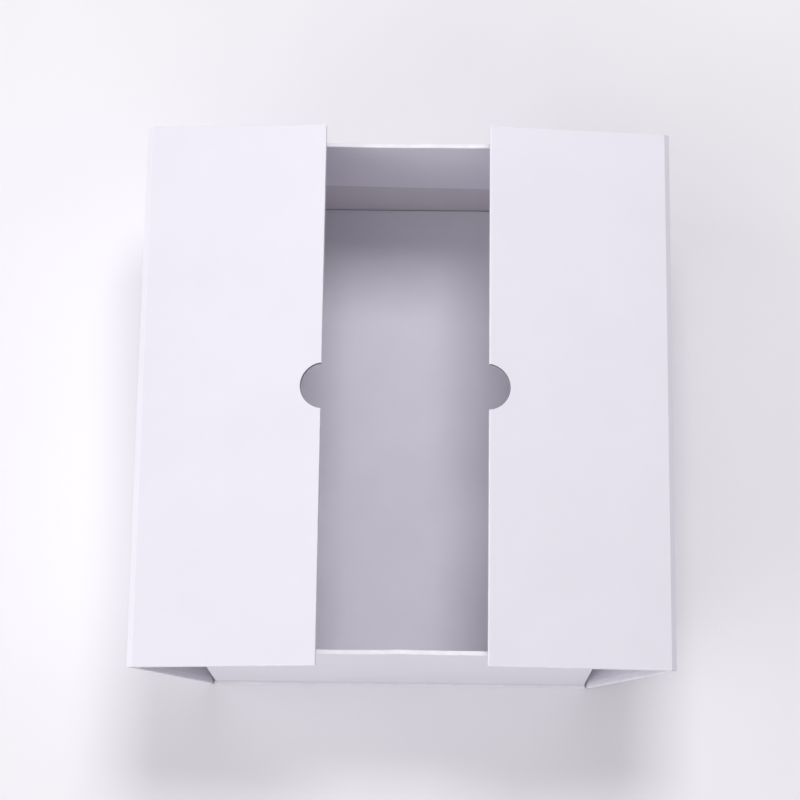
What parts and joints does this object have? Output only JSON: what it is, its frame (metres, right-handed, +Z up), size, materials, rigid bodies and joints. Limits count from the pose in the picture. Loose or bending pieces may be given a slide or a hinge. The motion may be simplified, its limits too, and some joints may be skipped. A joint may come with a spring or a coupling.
{
  "type": "gate-fold gift box",
  "caption": "White rigid gift box: an open tray in a folding case whose two doors, each with a half-round finger notch, open over it from side panels that lean out.",
  "frame": {"origin": "centre of the case's underside, on the surface the box stands on, midway between the tray's walls", "axes": "+Z up, +Y to the back along the doors' hinge lines, +X to the right"},
  "size_m": [0.2741, 0.2832, 0.1234],
  "materials": {
    "wrapping_paper": "matt laminated white art paper",
    "lining_paper": "uncoated white paper",
    "greyboard": "raw grey chipboard",
    "kraft_tape": "gummed paper tape",
    "adhesive": "dried glue"
  },
  "bodies": {
    "base": {"base_wrap": "wrapping_paper", "base_board": "greyboard", "base_liner": "lining_paper", "tray_glue_strips": "adhesive", "tray_floor_board": "greyboard", "tray_front_board": "greyboard", "tray_back_board": "greyboard", "tray_left_board": "greyboard", "tray_right_board": "greyboard", "tray_corner_stay_front_left": "kraft_tape", "tray_corner_stay_front_right": "kraft_tape", "tray_corner_stay_back_left": "kraft_tape", "tray_corner_stay_back_right": "kraft_tape", "tray_wrap": "wrapping_paper", "tray_floor_card": "lining_paper"},
    "left_side": {"left_side_wrap": "wrapping_paper", "left_side_board": "greyboard", "left_side_liner": "lining_paper"},
    "left_strip": {"left_hinge_strip": "wrapping_paper"},
    "left_door": {"left_door_wrap": "wrapping_paper", "left_door_board": "greyboard", "left_door_liner": "lining_paper"},
    "right_side": {"right_side_wrap": "wrapping_paper", "right_side_board": "greyboard", "right_side_liner": "lining_paper"},
    "right_strip": {"right_hinge_strip": "wrapping_paper"},
    "right_door": {"right_door_wrap": "wrapping_paper", "right_door_board": "greyboard", "right_door_liner": "lining_paper"}
  },
  "joints": [
    {"name": "left_side_fold", "type": "hinge", "parent": "base", "child": "left_side", "pos_m": [-0.103, 0, 0.0002], "axis": [0, -1, 0], "range_deg": [-16.45, 73.3]},
    {"name": "left_strip_fold", "type": "hinge", "parent": "left_side", "child": "left_strip", "pos_m": [-0.13494, 0, 0.10838], "axis": [0, -1, 0], "range_deg": [-36.9, 8.47]},
    {"name": "left_door_swing", "type": "hinge", "parent": "left_strip", "child": "left_door", "pos_m": [-0.13235, 0, 0.11058], "axis": [0, -1, 0], "range_deg": [0, 135]},
    {"name": "right_side_fold", "type": "hinge", "parent": "base", "child": "right_side", "pos_m": [0.103, 0, 0.0002], "axis": [0, 1, 0], "range_deg": [-18.5, 71.25]},
    {"name": "right_strip_fold", "type": "hinge", "parent": "right_side", "child": "right_strip", "pos_m": [0.13879, 0, 0.10717], "axis": [0, 1, 0], "range_deg": [-35.88, 9.5]},
    {"name": "right_door_swing", "type": "hinge", "parent": "right_strip", "child": "right_door", "pos_m": [0.13624, 0, 0.10941], "axis": [0, 1, 0], "range_deg": [0, 135]}
  ],
  "couplings": [
    {"joint": "left_strip_fold", "follows": "left_side_fold", "ratio": -0.5},
    {"joint": "right_strip_fold", "follows": "right_side_fold", "ratio": -0.5}
  ]
}
